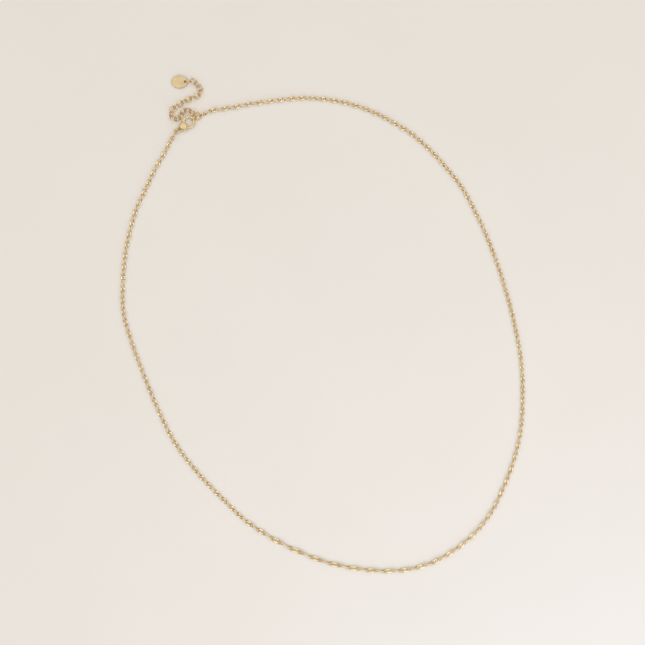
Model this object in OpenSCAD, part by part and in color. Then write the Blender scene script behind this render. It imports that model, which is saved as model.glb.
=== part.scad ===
// A fine singapore chain necklace with a lobster clasp, an extender of round rings and a drop tag,
// lying on a flat surface with the clasp hooked into the extender. Units are millimetres, +Z is up.

/* [Chain] */
// Width of the twisted ribbon of links, which is the diameter of the chain's envelope
chain_w = 1.5; // [1.0:0.1:1.7]
// Outer diameter of the round link at each end of the chain
end_link_od = 1.5; // [1.3:0.1:1.8]
// Wire thickness of the round end links
end_link_wire = 0.26; // [0.2:0.02:0.3]

/* [Extender] */
// Outer diameter of an extender ring
ring_od = 2.46; // [2.4:0.02:2.6]
// Wire thickness of an extender ring
ring_wire = 0.3; // [0.2:0.02:0.32]
// Slack between two neighbouring rings, short of pulled tight
ring_slack = 0.31; // [0.3:0.01:0.5]
// Roll of every second ring about the line of the extender, in degrees
ring_roll = 35; // [30:1:45]
// Angle between the planes of neighbouring rings, in degrees
ring_cross = 90; // [80:1:100]

/* [Clasp] */
// Thickness of the clasp body
clasp_t = 2.0; // [1.8:0.1:2.4]
// Radius of the swollen middle of the body
body_r = 1.45; // [1.4:0.05:1.6]
// Radius of the body's neck beside the tail eye
neck_r = 0.34; // [0.3:0.02:0.45]
// Distance from the tail eye to the middle of the body
body_x = 3.0; // [2.8:0.1:3.1]
// Radius of the line through the middle of the hook
hook_r = 1.75; // [1.7:0.05:1.85]
// Distance from the tail eye to the centre of the hook
hook_x = 5.1; // [4.9:0.1:5.2]
// Width of the hook seen from above
hook_w = 0.6; // [0.5:0.05:0.7]
// Height of the hook
hook_t = 0.8; // [0.7:0.05:0.9]
// Outer diameter of the tail eye
eye_od = 1.72; // [1.6:0.02:1.8]
// Wire thickness of the tail eye
eye_wire = 0.48; // [0.4:0.02:0.5]
// Angle of the clasp from +X towards +Y, in degrees
clasp_turn = 37; // [35:1:42]
// Outer diameter of the jump ring between the clasp and the chain
jump_ring_od = 2.9; // [2.7:0.05:2.95]
// Wire thickness of that jump ring
jump_ring_wire = 0.3; // [0.2:0.02:0.3]

/* [Lever] */
// Thickness of the lever
lever_t = 0.8; // [0.7:0.05:0.85]
// Width of the gate arm seen from above
gate_w = 0.5; // [0.4:0.05:0.55]
// Radius of the lever's hub
hub_r = 0.58; // [0.5:0.02:0.6]
// Diameter of the rivet pin
pin_d = 0.5; // [0.4:0.02:0.56]
// Radius of the thumb knob
knob_r = 0.36; // [0.3:0.02:0.4]
// Distance from the pin to the middle of the thumb knob
knob_reach = 1.65; // [1.6:0.05:1.8]
// Width of the arm that carries the knob
arm_w = 0.5; // [0.4:0.05:0.55]
// Distance from the pin to the end of the gate
gate_reach = 2.9; // [2.8:0.02:3.0]
// Opening angle of the lever, in degrees
lever_open = 24; // [18:1:26]
// Side clearance between the lever and the cheeks
side_gap = 0.05; // [0.03:0.01:0.1]
// Radial clearance between the lever and the pin
pin_gap = 0.04; // [0.02:0.01:0.08]
// Radial clearance between the pin and the cheeks
seat_gap = 0.01; // [0.01:0.005:0.03]
// Clearance between the end of the gate and the tip of the hook
tip_gap = 0.08; // [0.05:0.01:0.12]

/* [Tag] */
// Radius of the tag's wide end
tag_r = 1.85; // [1.7:0.05:2.0]
// Radius of the tag's narrow end
tag_tip_r = 1.35; // [1.2:0.05:1.5]
// Distance between the centres of the two ends
tag_len = 2.3; // [2.1:0.1:2.6]
// Radius of the tag's long curved flanks
tag_flank_r = 3.3; // [3.1:0.1:4.0]
// Thickness of the tag
tag_t = 0.5; // [0.4:0.05:0.7]
// Diameter of the hole in the tag
tag_hole = 0.8; // [0.7:0.05:0.9]
// Width of metal between the hole and the tag's narrow end
tag_rim = 0.5; // [0.4:0.05:0.6]
// Direction of the tag from its ring, from +X towards +Y, in degrees
tag_turn = 181; // [175:1:186]
// Outer diameter of the ring that carries the tag
tag_ring_od = 2.6; // [2.5:0.02:2.7]
// Wire thickness of the ring that carries the tag
tag_ring_wire = 0.26; // [0.2:0.02:0.3]

/* [Hidden] */
// Number of extender rings, counted from the chain
RINGS = 21;

// Facets of a true circle
ROUND = 64;
// Sides of the chain's envelope and cross sections along each half of it
TUBE_SIDES = 8;
TUBE_RINGS = 39;
// Spline points between two chosen points of a route
STEPS = 12;
// Small gap between pieces that are linked but not joined
GAP = 0.1;
// Step along the chain to either side of a point for the direction there
LOOK = 0.2;

// Step that brings the middle of the whole box to the origin
TO_MIDDLE = [0.08, 0.14];
// Middle of the clasp's tail eye, as seen from above
EYE_AT = [-48.75, 64.1];
// Chosen points of the chain, from the extender round to the clasp
CHAIN_ROUTE = [
    [-37.5, 70.9], [-29.5, 72.2], [-21, 73.7], [-4.5, 75.2], [11.5, 72.5], [26, 65.6], [35.5, 58],
    [45.1, 47], [50.6, 37.6], [56.2, 25.1], [60.5, 12.5], [63.9, -0.5], [66.2, -14], [66.4, -29.5],
    [64.8, -41.1], [60.8, -53.1], [54.8, -64.7], [45.6, -74.1], [34, -80.4], [20.5, -82.3],
    [3.5, -80], [-11.4, -74.3], [-24.5, -66.5], [-32.6, -59.1], [-41.9, -49.4], [-49.4, -39.4],
    [-55.2, -27.9], [-59.9, -16.4], [-63.4, -7], [-66.4, 3.5], [-66.6, 14], [-65.5, 25.4],
    [-62.6, 36.9], [-59.3, 44.4], [-55.7, 51.9], [-52.8, 56.9], [-51.3, 59.9]
];
// Chosen points of the extender, from the hook out to the tag
TAIL_ROUTE = [
    [-44.1, 70.6], [-45.4, 71], [-46.6, 70.6], [-47.2, 69.4], [-48.2, 68.4], [-49.3, 68.3],
    [-50.4, 69.1], [-50.3, 70.8], [-49.4, 71.9], [-47.7, 73.1], [-45.8, 74.2], [-44.4, 74.9],
    [-42.6, 75.6], [-41.4, 76.3], [-40.85, 77.4], [-41.2, 78.8], [-42.2, 79.9], [-43.4, 80.9]
];

function unit(v) = v / norm(v);
function left(v) = [-v[1], v[0]];
function flat(v) = [v[0], v[1]];
function bend(a, b, c, d, t) =
    (2 * b + (c - a) * t + (2 * a - 5 * b + 4 * c - d) * t * t + (3 * b - a - 3 * c + d) * t * t * t) / 2;
// A smooth line through the chosen points of a route
function smooth(p) = let (n = len(p) - 1) concat(
    [for (i = [0 : n - 1], k = [0 : STEPS - 1])
        bend(i == 0 ? 2 * p[0] - p[1] : p[i - 1], p[i], p[i + 1],
            i == n - 1 ? 2 * p[n] - p[n - 1] : p[i + 2], k / STEPS)],
    [p[n]]
);
// The length from the start of a line to each of its points
function runs(p) = [for (i = 0, s = 0; i < len(p); s = s + (i < len(p) - 1 ? norm(p[i + 1] - p[i]) : 0),
    i = i + 1) s];
// The point at a length along a line, carried straight on past its end
function along(p, s, d) = let (n = len(p) - 1)
    [lookup(d, [for (i = [0 : n]) [s[i], p[i][0]]]), lookup(d, [for (i = [0 : n]) [s[i], p[i][1]]])]
    + max(0, d - s[n]) * unit(p[n] - p[n - 1]);

// Centre line radius of each kind of ring
ring_r = (ring_od - ring_wire) / 2;
link_r = (end_link_od - end_link_wire) / 2;
eye_r = (eye_od - eye_wire) / 2;
jump_r = (jump_ring_od - jump_ring_wire) / 2;
tag_ring_r = (tag_ring_od - tag_ring_wire) / 2;
// Height of the middle of the chain and of the clasp
chain_z = chain_w / 2 * cos(180 / TUBE_SIDES);
clasp_z = clasp_t / 2;
// Directions along and across the clasp
cx = [cos(clasp_turn), sin(clasp_turn), 0];
cy = [-sin(clasp_turn), cos(clasp_turn), 0];
clasp_at = EYE_AT + TO_MIDDLE;
chain_route = [for (p = CHAIN_ROUTE) p + TO_MIDDLE];
tail_route = [for (p = TAIL_ROUTE) p + TO_MIDDLE];
function clasp_point(x, y, z) = [clasp_at[0], clasp_at[1], 0] + x * cx + y * cy + [0, 0, z];

// The hooked ring stands upright round the far end of the hook, short of pulled tight
hooked_slack = 0.29;
hooked_shift = ring_r - ring_wire / 2 - hook_w / 2 - hooked_slack;
hooked_z = ring_od / 2 + GAP / 2;
hooked_x = hook_x + hook_r + hooked_shift;
// The two rings that pass through the hooked one, below and above its middle
cross_x = 0.38;
low_drop = 0.36;
high_lift = 0.34;
side_shift = 0.5;
cross_half = sqrt(ring_r * ring_r - side_shift * side_shift);
low_tilt = 25;
high_tilt = 15;
low_side = -cos(low_tilt) * cy - [0, 0, sin(low_tilt)];
high_side = cos(high_tilt) * cy - [0, 0, sin(high_tilt)];
low_at = clasp_point(hooked_x + cross_x + cross_half, 0, hooked_z - low_drop) + side_shift * low_side;
high_at = clasp_point(hooked_x + cross_x + cross_half, 0, hooked_z + high_lift) + side_shift * high_side;

// The rest of the extender, ring by ring along its line
ring_pitch = ring_od - 2 * ring_wire - ring_slack;
tail = smooth(concat([flat(high_at)], tail_route));
tail_run = runs(tail);
function tail_at(i) = along(tail, tail_run, i * ring_pitch);
function tail_dir(i) = unit(tail_at(i + 0.5) - tail_at(max(0, i - 0.5)));
function roll(i) = i % 2 == 0 ? ring_roll : ring_roll - ring_cross;
steep = max(sin(ring_roll), sin(ring_cross - ring_roll));
tail_z = ring_r * steep + ring_wire / 2;
// Each ring has a centre and two directions that span its plane
function ring_place(n) =
    n == 1 ? [low_at, cx, low_side] :
    n == 2 ? [clasp_point(hooked_x, 0, hooked_z), cx, [0, 0, 1]] :
    n == 3 ? [high_at, cx, high_side] :
    let (i = n - 3, t = tail_dir(i), s = left(t), p = tail_at(i), a = roll(i))
        [[p[0], p[1], tail_z], [t[0], t[1], 0], [s[0] * cos(a), s[1] * cos(a), sin(a)]];

// The chain's end link hangs in the first extender ring, short of pulled tight
link_slack = 0.21;
tail_out = unit(chain_route[0] - flat(low_at));
tail_link_at = flat(low_at) + tail_out * (ring_r - ring_wire / 2 + link_r - end_link_wire / 2 - link_slack);
tail_link_z = 0.75;
chain_start = tail_link_at + tail_out * (end_link_od / 2 + GAP);
// A jump ring joins the clasp's eye to the chain's other end link, which leans up to it
eye_reach = 0.03;
link_reach = 0.15;
link_lean = 25;
clasp_out = unit(chain_route[len(chain_route) - 1] - clasp_at);
jump_at = clasp_at + clasp_out * (jump_r + eye_reach);
clasp_link_at = jump_at + clasp_out * (jump_r + link_reach);
clasp_link_z = chain_z + link_r * sin(link_lean);
chain_end = clasp_link_at + clasp_out * (link_r * cos(link_lean) + end_link_wire / 2 + GAP);
chain = smooth(concat([chain_start], chain_route, [chain_end]));
chain_run = runs(chain);
chain_len = chain_run[len(chain_run) - 1];

// The tag's ring stands upright, and its wire lifts the narrow end of the tag
tag_slack = 0.24;
tag_raise = 0.25;
tag_dir = [cos(tag_turn), sin(tag_turn)];
tag_ring_at = tail_at(RINGS - 3)
    + tag_dir * (ring_r - ring_wire / 2 + tag_ring_r - tag_ring_wire / 2 - tag_slack);
tag_lift = tag_ring_wire + tag_raise;
tag_tilt = asin(tag_lift / (tag_r + tag_len + tag_tip_r - tag_rim));
tag_level = tag_lift + tag_t / 2 - GAP / 2;
tag_hole_at = tag_ring_at + tag_dir * sqrt(pow(tag_ring_r, 2) - pow(tag_ring_od / 2 - tag_level, 2));
tag_hole_x = tag_len + tag_tip_r - tag_rim - tag_hole / 2;

// The lever and its seat, from above, with the tail eye at the origin
pin_x = 2.7;
pin_y = 0.3;
knob_lean = 8;
// Start and sweep of the hook and of the gate round the hook's centre, in degrees
hook_from = -150;
hook_sweep = 255;
gate_from = 70;
gate_sweep = 100;
// The body narrows into the hook through a cone between two points of the hook's middle line
shoulder_r = 0.8;
root_turn = -148;
waist_turn = -112;
root = [hook_x, 0] + hook_r * [cos(root_turn), sin(root_turn)];
waist = [hook_x, 0] + hook_r * [cos(waist_turn), sin(waist_turn)];
slot_t = lever_t + 2 * side_gap;
gate_lead = 0.38;
gate_inset = 0.05;
hub_room = 0.12;
arm_room = 0.1;
// Length of the room for the knob's arm, out past the body's edge
arm_slot = 4;
// Corners of the web that joins the hub to the gate
WEB = [[2.6, 0.85], [3.6, 1.28], [3.85, 0.9], [3.2, 0.2]];

module wire_ring(place, r, wire) {
    n = cross(place[1], place[2]);
    multmatrix([
        [place[1][0], place[2][0], n[0], place[0][0]],
        [place[1][1], place[2][1], n[1], place[0][1]],
        [place[1][2], place[2][2], n[2], place[0][2]]
    ])
        rotate_extrude($fn = ROUND)
            translate([r, 0])
                circle(d = wire, $fn = ROUND);
}

module tube(from, to) {
    step = (to - from) / (TUBE_RINGS - 1);
    r = chain_w / 2;
    points = [for (k = [0 : TUBE_RINGS - 1]) let (
            d = from + k * step,
            p = along(chain, chain_run, d),
            s = left(unit(along(chain, chain_run, min(d + LOOK, chain_len))
                - along(chain, chain_run, max(d - LOOK, 0)))))
        for (j = [0 : TUBE_SIDES - 1]) let (a = (j + 0.5) * 360 / TUBE_SIDES)
            [p[0] + s[0] * r * cos(a), p[1] + s[1] * r * cos(a), chain_z + r * sin(a)]];
    sides = [for (k = [0 : TUBE_RINGS - 2], j = [0 : TUBE_SIDES - 1])
        let (a = k * TUBE_SIDES + j, b = k * TUBE_SIDES + (j + 1) % TUBE_SIDES)
            [a, b, b + TUBE_SIDES, a + TUBE_SIDES]];
    first = [for (j = [TUBE_SIDES - 1 : -1 : 0]) j];
    last = [for (j = [0 : TUBE_SIDES - 1]) (TUBE_RINGS - 1) * TUBE_SIDES + j];
    polyhedron(points, concat(sides, [first, last]));
}

module chain_a() {
    color("gold") tube(0, chain_len / 2 - GAP / 2);
}

module chain_b() {
    color("gold") tube(chain_len / 2 + GAP / 2, chain_len);
}

module chain_end_link_tail() {
    tilt = 90 + low_tilt;
    side = left(tail_out);
    place = [
        [tail_link_at[0], tail_link_at[1], tail_link_z],
        [tail_out[0], tail_out[1], 0],
        [side[0] * cos(tilt), side[1] * cos(tilt), sin(tilt)]
    ];
    color("gold") wire_ring(place, link_r, end_link_wire);
}

module chain_end_link_clasp() {
    side = left(clasp_out);
    place = [
        [clasp_link_at[0], clasp_link_at[1], clasp_link_z],
        [clasp_out[0] * cos(link_lean), clasp_out[1] * cos(link_lean), -sin(link_lean)],
        [side[0], side[1], 0]
    ];
    color("gold") wire_ring(place, link_r, end_link_wire);
}

module clasp_jump_ring() {
    place = [[jump_at[0], jump_at[1], jump_ring_od / 2], [clasp_out[0], clasp_out[1], 0], [0, 0, 1]];
    color("gold") wire_ring(place, jump_r, jump_ring_wire);
}

module extender_ring(n) {
    color("gold") wire_ring(ring_place(n), ring_r, ring_wire);
}

// Everything of the clasp stands in its own frame, with its middle plane at the height of zero
module at_clasp() {
    translate([clasp_at[0], clasp_at[1], clasp_z]) rotate([0, 0, clasp_turn]) children();
}

// The solid pear of the body, before anything is cut
module body_pear() {
    lean = asin((body_r - neck_r) / (body_x - eye_r));
    x0 = eye_r;
    x1 = body_x - body_r * sin(lean);
    intersection() {
        union() {
            translate([body_x, 0, 0]) sphere(r = body_r, $fn = ROUND);
            translate([x0, 0, 0])
                rotate([0, 90, 0])
                    cylinder(h = x1 - x0, r1 = neck_r, r2 = body_r * cos(lean), $fn = ROUND);
            translate([root[0], root[1], 0])
                rotate([0, 90, atan2(waist[1] - root[1], waist[0] - root[0])])
                    cylinder(h = norm(waist - root), r1 = shoulder_r, r2 = hook_w / 2, $fn = ROUND);
        }
        translate([0, -2 * body_r, -clasp_t / 2]) cube([3 * body_x, 4 * body_r, clasp_t]);
    }
}

// The hook's ring with rounded edges, which stops where the end of the gate swings past
module hook() {
    edge = 0.25;
    difference() {
        translate([hook_x, 0, 0])
            rotate([0, 0, hook_from])
                rotate_extrude(angle = hook_sweep, $fn = ROUND)
                    translate([hook_r, 0]) {
                        square([hook_w - 2 * edge, hook_t], center = true);
                        square([hook_w, hook_t - 2 * edge], center = true);
                        for (x = [-1, 1], y = [-1, 1])
                            translate([x * (hook_w / 2 - edge), y * (hook_t / 2 - edge)])
                                circle(r = edge, $fn = ROUND);
                    }
        intersection() {
            translate([pin_x, pin_y, -clasp_t])
                cylinder(h = 2 * clasp_t, r = gate_reach + tip_gap, $fn = ROUND);
            translate([0, hook_r / 2, -clasp_t]) cube([3 * hook_x, 2 * hook_r, 2 * clasp_t]);
        }
    }
}

// The room between the cheeks in which the lever turns
module slot() {
    room = max(arm_w / 2, knob_r) + arm_room;
    rest = -90 - knob_lean;
    drawn = rest - lever_open;
    translate([0, 0, -slot_t / 2])
        linear_extrude(height = slot_t) {
            translate([pin_x, pin_y]) circle(r = hub_r + hub_room, $fn = ROUND);
            translate([pin_x - hub_r, -gate_lead]) square([3 * hook_x, 3 * hook_r]);
            translate([pin_x, pin_y])
                polygon([
                    room * [cos(rest + 90), sin(rest + 90)],
                    room * [cos(rest + 90), sin(rest + 90)] + arm_slot * [cos(rest), sin(rest)],
                    (arm_slot + 1) * [cos((rest + drawn) / 2), sin((rest + drawn) / 2)],
                    room * [cos(drawn - 90), sin(drawn - 90)] + arm_slot * [cos(drawn), sin(drawn)],
                    room * [cos(drawn - 90), sin(drawn - 90)]
                ]);
        }
}

module clasp_body() {
    color("gold") at_clasp() union() {
        difference() {
            body_pear();
            translate([hook_x, 0, -clasp_t])
                cylinder(h = 2 * clasp_t, r = hook_r - hook_w / 2, $fn = ROUND);
            slot();
            translate([pin_x, pin_y, -clasp_t])
                cylinder(h = 2 * clasp_t, d = pin_d + 2 * seat_gap, $fn = ROUND);
        }
        hook();
        rotate_extrude($fn = ROUND) translate([eye_r, 0]) circle(d = eye_wire, $fn = ROUND);
    }
}

module clasp_pin() {
    color("goldenrod") at_clasp()
        translate([pin_x, pin_y, -clasp_t / 2]) cylinder(h = clasp_t, d = pin_d, $fn = ROUND);
}

// The gate is an arc that ends on a circle about the pin
module gate() {
    outer = hook_r + hook_w / 2 - gate_inset;
    intersection() {
        translate([hook_x, 0, 0])
            rotate([0, 0, gate_from])
                rotate_extrude(angle = gate_sweep, $fn = ROUND)
                    translate([outer - gate_w, -lever_t / 2]) square([gate_w, lever_t]);
        translate([pin_x, pin_y, -lever_t]) cylinder(h = 2 * lever_t, r = gate_reach, $fn = ROUND);
    }
}

module clasp_lever() {
    color("gold") at_clasp() difference() {
        union() {
            gate();
            translate([pin_x, pin_y, -lever_t / 2]) cylinder(h = lever_t, r = hub_r, $fn = ROUND);
            translate([0, 0, -lever_t / 2])
                linear_extrude(height = lever_t) polygon(WEB);
            translate([pin_x, pin_y, -lever_t / 2]) rotate([0, 0, -90 - knob_lean]) {
                translate([0, -arm_w / 2, 0]) cube([knob_reach, arm_w, lever_t]);
                translate([knob_reach, 0, 0]) cylinder(h = lever_t, r = knob_r, $fn = ROUND);
            }
        }
        translate([pin_x, pin_y, -lever_t])
            cylinder(h = 2 * lever_t, d = pin_d + 2 * pin_gap, $fn = ROUND);
    }
}

module tag_ring() {
    place = [[tag_ring_at[0], tag_ring_at[1], tag_ring_od / 2], [tag_dir[0], tag_dir[1], 0], [0, 0, 1]];
    color("gold") wire_ring(place, tag_ring_r, tag_ring_wire);
}

// The outline of an egg: two round ends and two long arcs that touch both
module egg() {
    u = (pow(tag_flank_r - tag_r, 2) - pow(tag_flank_r - tag_tip_r, 2) + tag_len * tag_len) / (2 * tag_len);
    w = sqrt(pow(tag_flank_r - tag_r, 2) - u * u);
    x0 = u - u * tag_flank_r / (tag_flank_r - tag_r);
    x1 = u + (tag_len - u) * tag_flank_r / (tag_flank_r - tag_tip_r);
    circle(r = tag_r, $fn = ROUND);
    translate([tag_len, 0]) circle(r = tag_tip_r, $fn = ROUND);
    intersection() {
        translate([u, -w]) circle(r = tag_flank_r, $fn = ROUND);
        translate([u, w]) circle(r = tag_flank_r, $fn = ROUND);
        translate([x0, -tag_flank_r]) square([x1 - x0, 2 * tag_flank_r]);
    }
}

module tag() {
    color("gold")
        translate([tag_hole_at[0], tag_hole_at[1], 0])
            rotate([0, 0, tag_turn + 180])
                translate([-(tag_r + tag_hole_x) * cos(tag_tilt) + tag_t / 2 * sin(tag_tilt), 0, 0])
                    rotate([0, -tag_tilt, 0])
                        translate([tag_r, 0, 0])
                            linear_extrude(height = tag_t)
                                difference() {
                                    egg();
                                    translate([tag_hole_x, 0]) circle(d = tag_hole, $fn = ROUND);
                                }
}

chain_a();
chain_b();
chain_end_link_clasp();
chain_end_link_tail();
clasp_body();
clasp_pin();
clasp_lever();
clasp_jump_ring();
tag_ring();
tag();
for (i = [1 : RINGS])
    extender_ring(i);
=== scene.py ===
"""The looks of a fine singapore chain necklace that lies on a pale floor, seen from straight above.

Lengths are in metres where nothing else is said. Each piece takes the place of one solid of the frame.
"""

import math

import bpy
import numpy as np
from mathutils import Matrix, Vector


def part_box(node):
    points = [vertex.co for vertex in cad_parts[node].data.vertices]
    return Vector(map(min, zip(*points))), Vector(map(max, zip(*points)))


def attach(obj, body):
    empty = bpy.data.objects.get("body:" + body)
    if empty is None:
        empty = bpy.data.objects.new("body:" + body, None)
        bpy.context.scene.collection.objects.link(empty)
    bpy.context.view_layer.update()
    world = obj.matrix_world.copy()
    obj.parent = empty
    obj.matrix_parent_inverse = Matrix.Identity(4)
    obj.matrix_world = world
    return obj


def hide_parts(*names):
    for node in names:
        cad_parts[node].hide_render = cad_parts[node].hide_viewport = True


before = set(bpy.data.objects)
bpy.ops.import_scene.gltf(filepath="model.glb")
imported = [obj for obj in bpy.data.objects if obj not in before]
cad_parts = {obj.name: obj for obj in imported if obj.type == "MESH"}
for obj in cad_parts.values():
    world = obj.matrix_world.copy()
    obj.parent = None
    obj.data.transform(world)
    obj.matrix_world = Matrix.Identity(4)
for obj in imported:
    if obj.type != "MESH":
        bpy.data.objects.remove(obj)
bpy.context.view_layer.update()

MM = 0.001

# The view: straight down on the middle of the loop
VIEW_MIDDLE = (-0.09 * MM, 0.64 * MM)
VIEW_WIDTH = 215 * MM
CAMERA_HEIGHT = 0.6
CAMERA_CLIP = (0.01, 20)
# Width of the camera's sensor in millimetres
SENSOR = 36

# A soft round lamp near the lower right of the view
LAMP_AZIMUTH = math.radians(-60)
LAMP_ELEVATION = math.radians(31)
LAMP_DISTANCE = 0.33
LAMP_SIZE = 0.28
LAMP_WATTS = 0.2
LAMP_TINT = (0.83, 1.0, 1.3)
# Light of the room by the height of the direction: 0 is level and brown, 1 is straight up and white
ROOM = [
    (0.0, (0.17, 0.13, 0.10)), (0.3, (0.30, 0.27, 0.25)), (0.6, (0.54, 0.53, 0.51)),
    (0.75, (0.91, 0.89, 0.86)), (0.85, (1.52, 1.49, 1.45)), (0.92, (1.80, 1.76, 1.71)),
    (0.97, (1.38, 1.35, 1.31)), (1.0, (0.84, 0.81, 0.78)),
]

# The floor reaches this far from the middle each way, and its colour drifts between two tones
FLOOR_REACH = 2.5
FLOOR_DEEP = (0.84, 0.795, 0.735)
FLOOR_PALE = (0.855, 0.81, 0.75)
FLOOR_ROUGHNESS = 0.75
FLOOR_SPECULAR = 0.25
# Patches of tone and grains of fine texture in a millimetre, and the depth of that texture in millimetres
FLOOR_PATCHES = 0.02
FLOOR_GRAINS = 1.5
FLOOR_DEPTH = 0.01

# The values between which nearly all of a noise pattern lies
NOISE_LOW = 0.3
NOISE_HIGH = 0.7
# The values of the pattern at which gold has its deep and its pale tone
DEEP_AT = 0.35
PALE_AT = 0.65
# Patches of wear for each patch of tone
WEAR_PATCHES = 3
# Gold plate: its two tones, patches of tone in a millimetre, roughness from and to, grains of fine
# texture in a millimetre, and the depth of that texture in millimetres
GOLDS = {
    "chain_gold": {
        "pale": (0.95, 0.80, 0.52), "deep": (0.90, 0.715, 0.44), "patches": 0.3,
        "roughness": (0.15, 0.28), "grains": 12, "depth": 0.002,
    },
    "ring_gold": {
        "pale": (0.95, 0.74, 0.39), "deep": (0.68, 0.44, 0.17), "patches": 1.1,
        "roughness": (0.05, 0.14), "grains": 9, "depth": 0.002,
    },
    "clasp_gold": {
        "pale": (0.78, 0.62, 0.33), "deep": (0.72, 0.55, 0.28), "patches": 0.6,
        "roughness": (0.12, 0.22), "grains": 5, "depth": 0.004,
    },
    "tag_gold": {
        "pale": (0.56, 0.44, 0.26), "deep": (0.50, 0.39, 0.215), "patches": 0.8,
        "roughness": (0.28, 0.42), "grains": 7, "depth": 0.004,
    },
}

# The chain's course, as in the solids, with the step that puts the whole on the origin
CHAIN_ROUTE = [
    (-0.0375, 0.0709), (-0.0295, 0.0722), (-0.021, 0.0737), (-0.0045, 0.0752), (0.0115, 0.0725),
    (0.026, 0.0656), (0.0355, 0.058), (0.0451, 0.047), (0.0506, 0.0376), (0.0562, 0.0251),
    (0.0605, 0.0125), (0.0639, -0.0005), (0.0662, -0.014), (0.0664, -0.0295), (0.0648, -0.0411),
    (0.0608, -0.0531), (0.0548, -0.0647), (0.0456, -0.0741), (0.034, -0.0804), (0.0205, -0.0823),
    (0.0035, -0.08), (-0.0114, -0.0743), (-0.0245, -0.0665), (-0.0326, -0.0591), (-0.0419, -0.0494),
    (-0.0494, -0.0394), (-0.0552, -0.0279), (-0.0599, -0.0164), (-0.0634, -0.007), (-0.0664, 0.0035),
    (-0.0666, 0.014), (-0.0655, 0.0254), (-0.0626, 0.0369), (-0.0593, 0.0444), (-0.0557, 0.0519),
    (-0.0528, 0.0569), (-0.0513, 0.0599),
]
TO_MIDDLE = (0.08 * MM, 0.14 * MM)
# Spline points between two chosen points of the course
SPLINE_STEPS = 24
# The course starts and ends this far past the rims of the two end links
END_GAP = 0.1 * MM
# Step to either side of a point for the direction of the course there
LOOK = 0.15 * MM

# One link: an oval of wire, bent out of its plane so that the next two links pass through it
LINK_HALF_LENGTH = 0.687 * MM
LINK_HALF_WIDTH = 0.585 * MM
LINK_BEND = -0.213 * MM
LINK_WIRE_R = 0.125 * MM
LINK_SEGMENTS = 16
LINK_PITCH = 0.55 * MM
FIRST_LINK_IN = 0.18 * MM
# Step round a link, in radians, for the direction of its wire
LINK_LOOK = 0.01
# The wire has six sides, and the ribbon's face and back are cut flat at this height over its middle
WIRE_SIDES = 6
DIAMOND_CUT = 0.217 * MM
# Corners of the wire beside its two cut flats
CUT_CORNERS = (1, 2, 4, 5)

# The ribbon of links turns over and over: length of each half turn, by distance from the extender end
HALF_TURNS = [
    (0.000, 0.0041), (0.040, 0.0038), (0.070, 0.0034), (0.170, 0.0036), (0.210, 0.0043),
    (0.235, 0.0055), (0.285, 0.0069), (0.297, 0.0050), (0.307, 0.0036), (0.330, 0.0035),
    (0.355, 0.0041), (0.380, 0.0040), (0.405, 0.0036), (0.447, 0.0036),
]
# How far the ribbon has turned ahead of that, in half turns, by distance from the extender end
TWIST_LEAD = [
    (0.015, 0.0), (0.042, 0.6), (0.065, 0.6), (0.080, 0.48), (0.152, 0.5), (0.168, 0.2),
    (0.190, 0.2), (0.202, 0.0), (0.215, 0.0), (0.240, 0.22), (0.262, 0.45), (0.280, 0.45),
    (0.290, 0.25), (0.302, 0.1), (0.352, 0.05), (0.365, 0.0), (0.402, 0.15), (0.427, 0.0),
]
# Roll of the ribbon about its course where it meets the extender's and the clasp's end link
TAIL_ROLL = math.radians(25)
CLASP_ROLL = math.radians(90)
TWIST_STEP = 0.1 * MM

# Jump rings are bent wire with a hairline cut, which lies a golden angle further on in each next ring
RING_SEGMENTS = 64
RING_SIDES = 14
CUT_WIDTH = 0.018 * MM
GOLDEN_ANGLE = math.radians(137.5)

# The tumbled castings, in millimetres: size of the voxels of the body and the lever, and their wear
BODY_VOXEL = 0.035
LEVER_VOXEL = 0.03
WEAR_STRENGTH = 0.5
WEAR_ROUNDS = 12

# The stamped tag, in millimetres: how near two corners count as one, then width and steps of its rolled rim
SAME_CORNER = 0.001
RIM_WIDTH = 0.09
RIM_STEPS = 4
# Faces that turn by less than this are one face, and edges that turn by more get the rolled rim
SAME_FACE_ANGLE = math.radians(1)
RIM_ANGLE = math.radians(40)

# The rivet's foot, as shares of its radius and heights over its lower end, and the hollow in its middle
RIVET_SIDES = 32
RIVET_FOOT = [(0.7, 0.01 * MM), (0.94, 0.03 * MM), (1.0, 0.09 * MM)]
RIVET_HOLLOW = 0.02 * MM
# Its head: drop of the shoulder below the upper end, rise of the dome over that, and the dome's steps,
# in radians
RIVET_SHOULDER = 0.05 * MM
RIVET_DOME = 0.06 * MM
DOME_ANGLES = (0.4, 0.8, 1.2)


def make_camera():
    """A long lens straight above the middle of the loop, with the top of the view towards +Y."""
    data = bpy.data.cameras.new("camera")
    data.sensor_width = SENSOR
    data.lens = SENSOR * CAMERA_HEIGHT / VIEW_WIDTH
    data.clip_start, data.clip_end = CAMERA_CLIP
    camera = bpy.data.objects.new("camera", data)
    camera.location = (*VIEW_MIDDLE, CAMERA_HEIGHT)
    bpy.context.scene.collection.objects.link(camera)
    bpy.context.scene.camera = camera


# Shared helpers


def unit(v):
    """The vectors, each shortened or lengthened to 1."""
    return v / np.linalg.norm(v, axis=-1, keepdims=True)


def new_object(name, points, faces, material, smooth=True):
    """A mesh object of the points and faces, in the scene and in its material."""
    mesh = bpy.data.meshes.new(name)
    mesh.from_pydata(np.asarray(points, float).reshape(-1, 3).tolist(), [], faces)
    mesh.update()
    if smooth:
        mesh.shade_smooth()
    mesh.materials.append(material)
    obj = bpy.data.objects.new(name, mesh)
    bpy.context.scene.collection.objects.link(obj)
    return obj


def stand_in(obj, node, body):
    """Puts a piece in the place of a CAD node, on its body, and hides the node."""
    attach(obj, body)
    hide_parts(node)


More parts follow.
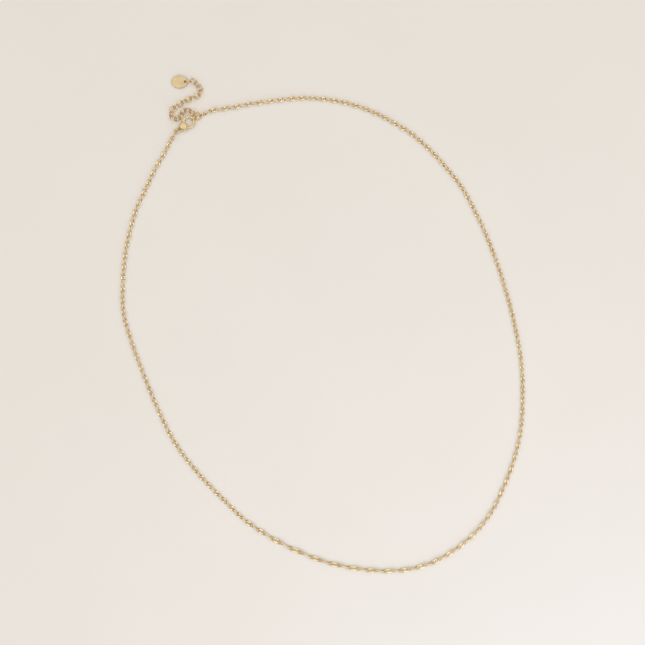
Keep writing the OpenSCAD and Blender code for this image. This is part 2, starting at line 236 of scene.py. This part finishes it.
def node_points(node):
    """The vertices of a CAD node, as an array in metres."""
    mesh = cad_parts[node].data
    points = np.zeros(len(mesh.vertices) * 3)
    mesh.vertices.foreach_get("co", points)
    return points.reshape(-1, 3)


# The chain


def beyond(node, towards):
    """The point over the floor just past the rim of a ring, on the side of the given point."""
    low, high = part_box(node)
    middle = ((np.array(low) + np.array(high)) / 2)[:2]
    way = unit(towards - middle)
    return middle + way * (((node_points(node)[:, :2] - middle) @ way).max() + END_GAP)


def spline(points):
    """A smooth line through the points: the same Catmull-Rom curve as the solids'."""
    p = np.asarray(points, float)
    p = np.vstack([2 * p[0] - p[1], p, 2 * p[-1] - p[-2]])
    t = np.linspace(0, 1, SPLINE_STEPS, endpoint=False)[:, None]
    line = []
    for a, b, c, d in zip(p, p[1:], p[2:], p[3:]):
        line.append((2 * b + (c - a) * t + (2 * a - 5 * b + 4 * c - d) * t**2
                     + (3 * b - a - 3 * c + d) * t**3) / 2)
    return np.vstack(line + [p[-2:-1]])


class Ribbon:
    """The twisted ribbon that the links follow: a course over the floor and a roll about it."""

    def __init__(self):
        route = np.array(CHAIN_ROUTE) + TO_MIDDLE
        start = beyond("chain_end_link_tail", route[0])
        end = beyond("chain_end_link_clasp", route[-1])
        self.line = spline(np.vstack([start, route, end]))
        steps = np.linalg.norm(np.diff(self.line, axis=0), axis=1)
        self.run = np.concatenate([[0], np.cumsum(steps)])
        self.length = self.run[-1]
        self.height = LINK_HALF_WIDTH + LINK_WIRE_R
        self.make_roll()

    def make_roll(self):
        """Adds up the half turns, trims them so that both ends meet their end links, and adds the lead."""
        at, half = np.array(HALF_TURNS).T
        s = np.arange(0, self.length + TWIST_STEP, TWIST_STEP)
        turned = np.concatenate([[0], np.cumsum(math.pi * TWIST_STEP / np.interp(s[1:], at, half))])
        total = turned[-1] + TAIL_ROLL - CLASP_ROLL
        wanted = round(total / math.pi) * math.pi + CLASP_ROLL - TAIL_ROLL
        lead = np.interp(s, *np.array(TWIST_LEAD).T)
        self.roll_at = s
        self.rolled = TAIL_ROLL + turned * wanted / turned[-1] + math.pi * lead

    def roll(self, s):
        """The roll of the ribbon where it has run for s, in radians."""
        return np.interp(s, self.roll_at, self.rolled)

    def centre(self, s):
        """The middle of the ribbon, carried straight on past its ends."""
        first = unit(self.line[1] - self.line[0])
        last = unit(self.line[-1] - self.line[-2])
        flat = np.stack([np.interp(s, self.run, self.line[:, k]) for k in (0, 1)], -1)
        flat = flat + np.minimum(s, 0)[..., None] * first
        flat = flat + np.maximum(s - self.length, 0)[..., None] * last
        return np.concatenate([flat, np.full_like(flat[..., :1], self.height)], -1)

    def place(self, s, y, z):
        """The points at y across and z above the ribbon, where it has run for s."""
        along = unit(self.centre(s + LOOK) - self.centre(s - LOOK))
        left = np.stack([-along[..., 1], along[..., 0], np.zeros(s.shape)], -1)
        up = np.array([0, 0, 1.0])
        c, n = np.cos(self.roll(s)), np.sin(self.roll(s))
        return self.centre(s) + left * (y * c - z * n)[..., None] + up * (y * n + z * c)[..., None]


def link_wire(starts, turn):
    """The middle of each link's wire over the ribbon, at the angles in turn round the link."""
    s = starts[:, None] + LINK_HALF_LENGTH * np.cos(turn)
    y = LINK_HALF_WIDTH * np.sin(turn)
    z = LINK_BEND * np.sin(2 * turn)
    return s, np.broadcast_to(y, s.shape), np.broadcast_to(z, s.shape)


def link_points(ribbon, starts):
    """The corners of the wire of all links: by link, by segment round it, and by side of the wire."""
    turn = np.linspace(0, 2 * math.pi, LINK_SEGMENTS, endpoint=False)
    s, y, z = link_wire(starts, turn)
    ahead = ribbon.place(*link_wire(starts, turn + LINK_LOOK))
    behind = ribbon.place(*link_wire(starts, turn - LINK_LOOK))
    along = unit(ahead - behind)
    middle = ribbon.place(s, y, z)
    above = unit(ribbon.place(s, y, z + LINK_WIRE_R) - middle)
    out = unit(np.cross(along, above))
    above = np.cross(out, along)
    angle = np.linspace(0, 2 * math.pi, WIRE_SIDES, endpoint=False)
    height = z[..., None]
    rise = np.clip(height + LINK_WIRE_R * np.sin(angle), -DIAMOND_CUT, DIAMOND_CUT) - height
    # Six-sided wire is half as wide at its upper and lower corners as in its middle
    width = 1 - np.abs(rise) / (2 * LINK_WIRE_R * math.sin(math.pi / 3))
    reach = LINK_WIRE_R * width * np.sign(np.cos(angle))
    return middle[:, :, None] + out[:, :, None] * reach[..., None] + above[:, :, None] * rise[..., None]


def link_faces(count):
    """The faces of so many links, each a closed tube of four-cornered faces."""
    a, b = np.meshgrid(np.arange(LINK_SEGMENTS), np.arange(WIRE_SIDES), indexing="ij")
    a2, b2 = (a + 1) % LINK_SEGMENTS, (b + 1) % WIRE_SIDES
    corners = [(a, b), (a2, b), (a2, b2), (a, b2)]
    one = np.stack([row * WIRE_SIDES + side for row, side in corners], -1)
    first = np.arange(count) * LINK_SEGMENTS * WIRE_SIDES
    return (first[:, None, None] + one.reshape(-1, 4)).reshape(-1, 4).tolist()


def sharpen_cuts(mesh):
    """Marks the edges that run along the wire beside its two bright flats."""
    ends = np.zeros(len(mesh.edges) * 2, int)
    mesh.edges.foreach_get("vertices", ends)
    side = ends.reshape(-1, 2) % WIRE_SIDES
    sharp = (side[:, 0] == side[:, 1]) & np.isin(side[:, 0], CUT_CORNERS)
    layer = mesh.attributes.new("sharp_edge", "BOOLEAN", "EDGE")
    layer.data.foreach_set("value", sharp)


def make_chain(material):
    """The links along the whole ribbon, as one piece for each half of the chain."""
    ribbon = Ribbon()
    first, last = FIRST_LINK_IN, ribbon.length - FIRST_LINK_IN
    count = round((last - first) / LINK_PITCH) + 1
    starts = np.linspace(first, last, count)
    half = count // 2
    for name, node, part in (
        ("chain_links_a", "chain_a", starts[:half]),
        ("chain_links_b", "chain_b", starts[half:]),
    ):
        obj = new_object(name, link_points(ribbon, part), link_faces(len(part)), material)
        sharpen_cuts(obj.data)
        stand_in(obj, node, "necklace")


# Rings


def ring_frame(node):
    """A ring of the frame: its middle, two directions of its plane, its axis, its radius and its wire's."""
    points = np.unique(node_points(node).round(8), axis=0)
    middle = (points.max(0) + points.min(0)) / 2
    spread = np.linalg.eigh(np.cov((points - middle).T))[1]
    across, along, normal = spread[:, 2], spread[:, 1], spread[:, 0]
    flat = points - middle - np.outer((points - middle) @ normal, normal)
    reach = np.linalg.norm(flat, axis=1)
    radius = (reach.max() + reach.min()) / 2
    return middle, across, along, np.cross(across, along), radius, (reach.max() - reach.min()) / 2


def make_ring(node, order, material):
    """A ring of bent wire with its two ends butted together at a hairline cut."""
    middle, across, along, normal, radius, wire = ring_frame(node)
    cut = CUT_WIDTH / radius
    start = order * GOLDEN_ANGLE
    points = []
    faces = []
    for k in range(RING_SEGMENTS + 1):
        turn = start + cut / 2 + (2 * math.pi - cut) * k / RING_SEGMENTS
        out = across * math.cos(turn) + along * math.sin(turn)
        for j in range(RING_SIDES):
            a = 2 * math.pi * j / RING_SIDES
            points.append(middle + out * (radius + wire * math.cos(a)) + normal * wire * math.sin(a))
    for k in range(RING_SEGMENTS):
        for j in range(RING_SIDES):
            a, b = k * RING_SIDES + j, k * RING_SIDES + (j + 1) % RING_SIDES
            faces.append((a, a + RING_SIDES, b + RING_SIDES, b))
    faces.append(tuple(range(RING_SIDES)))
    faces.append(tuple(RING_SEGMENTS * RING_SIDES + j for j in reversed(range(RING_SIDES))))
    obj = new_object(node + "_wire", points, faces, material)
    for polygon in obj.data.polygons[-2:]:
        polygon.use_smooth = False
    stand_in(obj, node, "necklace")


# Castings, the stamped tag and the rivet


def copy_in_mm(node, name, material):
    """A copy of a CAD node, enlarged so that one millimetre is one unit, for the shaping that follows."""
    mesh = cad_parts[node].data.copy()
    mesh.materials.clear()
    mesh.materials.append(material)
    mesh.vertices.foreach_set("co", (node_points(node) / MM).ravel())
    mesh.shade_smooth()
    obj = bpy.data.objects.new(name, mesh)
    bpy.context.scene.collection.objects.link(obj)
    return obj


def shape(obj, material):
    """Makes the shaping of a copy lasting and brings it back to metres."""
    bpy.context.view_layer.update()
    made = bpy.data.meshes.new_from_object(obj.evaluated_get(bpy.context.evaluated_depsgraph_get()))
    obj.modifiers.clear()
    obj.data = made
    made.name = obj.name
    made.transform(Matrix.Scale(MM, 4))
    if not made.materials:
        made.materials.append(material)


def make_tumbled(node, body, voxel, material):
    """A copy of a CAD node with its edges worn round, as a casting has after tumbling."""
    obj = copy_in_mm(node, node + "_tumbled", material)
    skin = obj.modifiers.new("skin", "REMESH")
    skin.mode = "VOXEL"
    skin.voxel_size = voxel
    skin.use_smooth_shade = True
    worn = obj.modifiers.new("worn", "SMOOTH")
    worn.factor = WEAR_STRENGTH
    worn.iterations = WEAR_ROUNDS
    shape(obj, material)
    stand_in(obj, node, body)


def make_stamped(node, body, material):
    """A copy of a CAD node with its rims rolled over, as a stamping has on the side of the punch."""
    obj = copy_in_mm(node, node + "_stamped", material)
    obj.modifiers.new("welded", "WELD").merge_threshold = SAME_CORNER
    whole = obj.modifiers.new("whole_faces", "DECIMATE")
    whole.decimate_type = "DISSOLVE"
    whole.angle_limit = SAME_FACE_ANGLE
    rims = obj.modifiers.new("rims", "BEVEL")
    rims.width = RIM_WIDTH
    rims.segments = RIM_STEPS
    rims.limit_method = "ANGLE"
    rims.angle_limit = RIM_ANGLE
    obj.modifiers.new("flats", "WEIGHTED_NORMAL").keep_sharp = True
    shape(obj, material)
    stand_in(obj, node, body)


def make_rivet(material):
    """The pin with its upper end hammered to a low dome."""
    low, high = (np.array(v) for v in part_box("clasp_pin"))
    x, y, _ = (low + high) / 2
    radius = (high[0] - low[0]) / 2
    shoulder = high[2] - RIVET_SHOULDER
    profile = [(share, low[2] + rise) for share, rise in RIVET_FOOT]
    profile.append((1.0, shoulder))
    profile += [(math.cos(a), shoulder + RIVET_DOME * math.sin(a)) for a in DOME_ANGLES]
    points = []
    for share, z in profile:
        for j in range(RIVET_SIDES):
            a = 2 * math.pi * j / RIVET_SIDES
            points.append((x + radius * share * math.cos(a), y + radius * share * math.sin(a), z))
    last = len(points) - RIVET_SIDES
    foot, top = len(points), len(points) + 1
    points += [(x, y, low[2] + RIVET_HOLLOW), (x, y, shoulder + RIVET_DOME)]
    faces = []
    for j in range(RIVET_SIDES):
        a, b = j, (j + 1) % RIVET_SIDES
        for row in range(0, last, RIVET_SIDES):
            faces.append((row + a, row + b, row + b + RIVET_SIDES, row + a + RIVET_SIDES))
        faces += [(b, a, foot), (last + a, last + b, top)]
    obj = new_object("clasp_rivet", points, faces, material)
    stand_in(obj, "clasp_pin", "necklace")


# Materials


def node_tree(name):
    """A new material, its nodes, and the shader among them."""
    material = bpy.data.materials.new(name)
    material.use_nodes = True
    tree = material.node_tree
    return material, tree, tree.nodes["Principled BSDF"]


def noise(tree, scale, detail, rough=0.5):
    """A noise pattern in the object's own space, with its scale in patches for each millimetre."""
    place = tree.nodes.new("ShaderNodeTexCoord")
    size = tree.nodes.new("ShaderNodeMapping")
    size.inputs["Scale"].default_value = [scale / MM] * 3
    pattern = tree.nodes.new("ShaderNodeTexNoise")
    pattern.inputs["Scale"].default_value = 1
    pattern.inputs["Detail"].default_value = detail
    pattern.inputs["Roughness"].default_value = rough
    tree.links.new(place.outputs["Object"], size.inputs["Vector"])
    tree.links.new(size.outputs["Vector"], pattern.inputs["Vector"])
    return pattern.outputs["Fac"]


def ramp(tree, source, stops):
    """Colours for the values of a pattern: (value, (r, g, b)) rows."""
    colours = tree.nodes.new("ShaderNodeValToRGB")
    elements = colours.color_ramp.elements
    while len(elements) < len(stops):
        elements.new(0.5)
    for element, (value, colour) in zip(elements, stops):
        element.position = value
        element.color = (*colour, 1)
    tree.links.new(source, colours.inputs["Fac"])
    return colours.outputs["Color"]


def spread(tree, source, low, high):
    """Spreads a noise pattern over the range from low to high."""
    node = tree.nodes.new("ShaderNodeMapRange")
    node.inputs["From Min"].default_value = NOISE_LOW
    node.inputs["From Max"].default_value = NOISE_HIGH
    node.inputs["To Min"].default_value = low
    node.inputs["To Max"].default_value = high
    tree.links.new(source, node.inputs["Value"])
    return node.outputs["Result"]


def bump(tree, source, shader, depth):
    """Raises the surface by the pattern: depth is in millimetres."""
    node = tree.nodes.new("ShaderNodeBump")
    node.inputs["Distance"].default_value = depth * MM
    node.inputs["Strength"].default_value = 1
    tree.links.new(source, node.inputs["Height"])
    tree.links.new(node.outputs["Normal"], shader.inputs["Normal"])


def make_gold(name, pale, deep, patches, roughness, grains, depth):
    """Gold plate: colour that drifts in patches, a polish of uneven gloss, and fine grain."""
    material, tree, shader = node_tree(name + "_plate")
    shader.inputs["Metallic"].default_value = 1
    tone = noise(tree, patches, detail=2)
    tree.links.new(ramp(tree, tone, [(DEEP_AT, deep), (PALE_AT, pale)]), shader.inputs["Base Color"])
    wear = noise(tree, patches * WEAR_PATCHES, detail=4)
    tree.links.new(spread(tree, wear, *roughness), shader.inputs["Roughness"])
    bump(tree, noise(tree, grains, detail=4), shader, depth)
    return material


# Floor and light


def make_floor():
    """A wide sheet of warm white board, faintly mottled."""
    material, tree, shader = node_tree("floor_board")
    tone = noise(tree, FLOOR_PATCHES, detail=4, rough=0.6)
    stops = [(NOISE_LOW, FLOOR_DEEP), (NOISE_HIGH, FLOOR_PALE)]
    tree.links.new(ramp(tree, tone, stops), shader.inputs["Base Color"])
    shader.inputs["Roughness"].default_value = FLOOR_ROUGHNESS
    shader.inputs["Specular IOR Level"].default_value = FLOOR_SPECULAR
    bump(tree, noise(tree, FLOOR_GRAINS, detail=5, rough=0.7), shader, FLOOR_DEPTH)
    r = FLOOR_REACH
    corners = [(-r, -r, 0), (r, -r, 0), (r, r, 0), (-r, r, 0)]
    floor = new_object("floor", corners, [(0, 1, 2, 3)], material, smooth=False)


def make_lamp():
    """A round area light that faces the origin."""
    data = bpy.data.lights.new("lamp", "AREA")
    data.shape = "DISK"
    data.size = LAMP_SIZE
    data.energy = LAMP_WATTS
    data.color = LAMP_TINT
    lamp = bpy.data.objects.new("lamp", data)
    lamp.location = LAMP_DISTANCE * np.array([
        math.cos(LAMP_ELEVATION) * math.cos(LAMP_AZIMUTH),
        math.cos(LAMP_ELEVATION) * math.sin(LAMP_AZIMUTH),
        math.sin(LAMP_ELEVATION),
    ])
    lamp.rotation_euler = (math.pi / 2 - LAMP_ELEVATION, 0, LAMP_AZIMUTH + math.pi / 2)
    bpy.context.scene.collection.objects.link(lamp)


def make_room():
    """The pale room round the floor, as light from all directions."""
    world = bpy.data.worlds.new("room")
    world.use_nodes = True
    tree = world.node_tree
    way = tree.nodes.new("ShaderNodeTexCoord")
    height = tree.nodes.new("ShaderNodeSeparateXYZ")
    tree.links.new(way.outputs["Generated"], height.inputs["Vector"])
    brightest = max(max(colour) for _, colour in ROOM)
    stops = [(at, tuple(c / brightest for c in colour)) for at, colour in ROOM]
    room = tree.nodes["Background"]
    room.inputs["Strength"].default_value = brightest
    tree.links.new(ramp(tree, height.outputs["Z"], stops), room.inputs["Color"])
    bpy.context.scene.world = world


def main():
    """Makes the view and its light, then every piece of the necklace."""
    make_camera()
    make_floor()
    make_room()
    make_lamp()
    bpy.context.scene.view_settings.view_transform = "Standard"
    gold = {name: make_gold(name, **look) for name, look in GOLDS.items()}
    make_chain(gold["chain_gold"])
    rings = [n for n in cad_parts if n.startswith(("extender_ring_", "chain_end_link_"))]
    for order, node in enumerate(sorted(rings) + ["clasp_jump_ring", "tag_ring"]):
        make_ring(node, order, gold["ring_gold"])
    make_tumbled("clasp_body", "necklace", BODY_VOXEL, gold["clasp_gold"])
    make_tumbled("clasp_lever", "lever", LEVER_VOXEL, gold["clasp_gold"])
    make_stamped("tag", "necklace", gold["tag_gold"])
    make_rivet(gold["clasp_gold"])


main()
